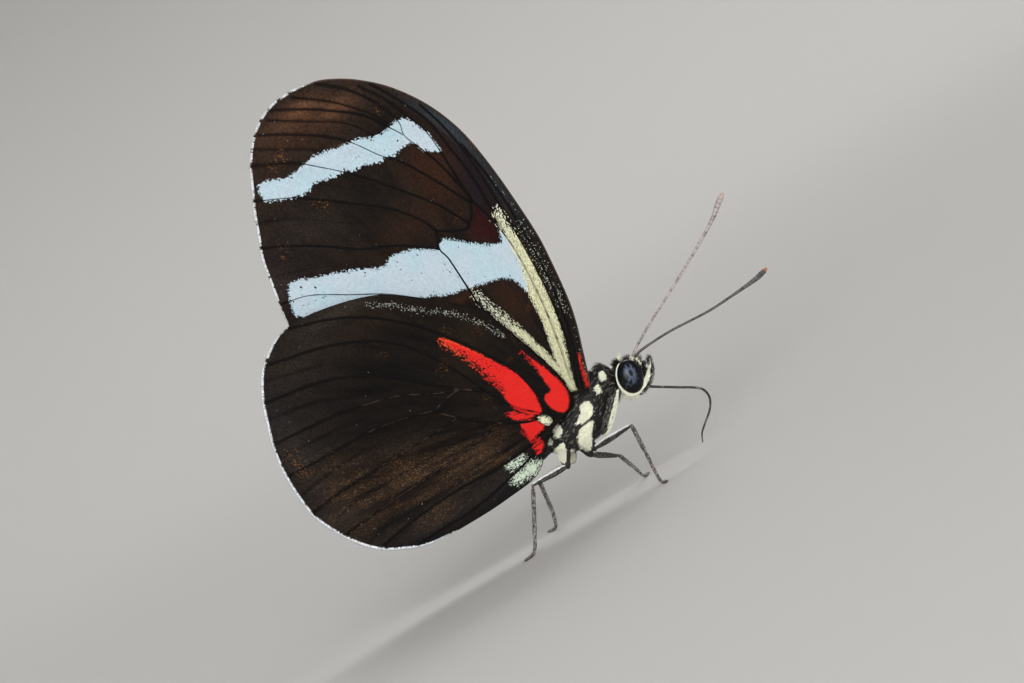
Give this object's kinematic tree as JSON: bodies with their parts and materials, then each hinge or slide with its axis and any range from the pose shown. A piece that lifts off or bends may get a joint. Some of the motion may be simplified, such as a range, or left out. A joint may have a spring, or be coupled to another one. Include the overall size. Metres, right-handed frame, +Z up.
{
  "type": "longwing butterfly",
  "caption": "Life-size longwing butterfly at rest with its wings closed over its back, feelers forward and tongue bent down.",
  "frame": {"origin": "bottom centre of the box round the animal, on the surface that its feet stand on", "axes": "+X forwards to the head, +Y to the animal's left, +Z up"},
  "size_m": [0.042, 0.017, 0.0416],
  "materials": {
    "wing_membrane": "scaled wing membrane, dark brown with white, pale yellow and red marks",
    "body_hair": "short dark hair with cream spots",
    "eye": "faceted black eye with blue-grey mottling",
    "feeler": "dark brown feelers and tongue",
    "leg_shell": "dark legs dusted with silvery scales"
  },
  "bodies": {
    "root": {"thorax": "body_hair", "prothorax": "body_hair", "abdomen": "body_hair", "head": "body_hair", "palp_right": "body_hair", "palp_left": "body_hair", "eye_right": "eye", "eye_left": "eye", "proboscis": "feeler", "antenna_right": "feeler", "antenna_left": "feeler", "forewing_right": "wing_membrane", "forewing_left": "wing_membrane", "hindwing_right": "wing_membrane", "hindwing_left": "wing_membrane", "foreleg_right": "leg_shell", "foreleg_left": "leg_shell", "midleg_right": "leg_shell", "midleg_left": "leg_shell", "hindleg_right": "leg_shell", "hindleg_left": "leg_shell"}
  },
  "joints": []
}
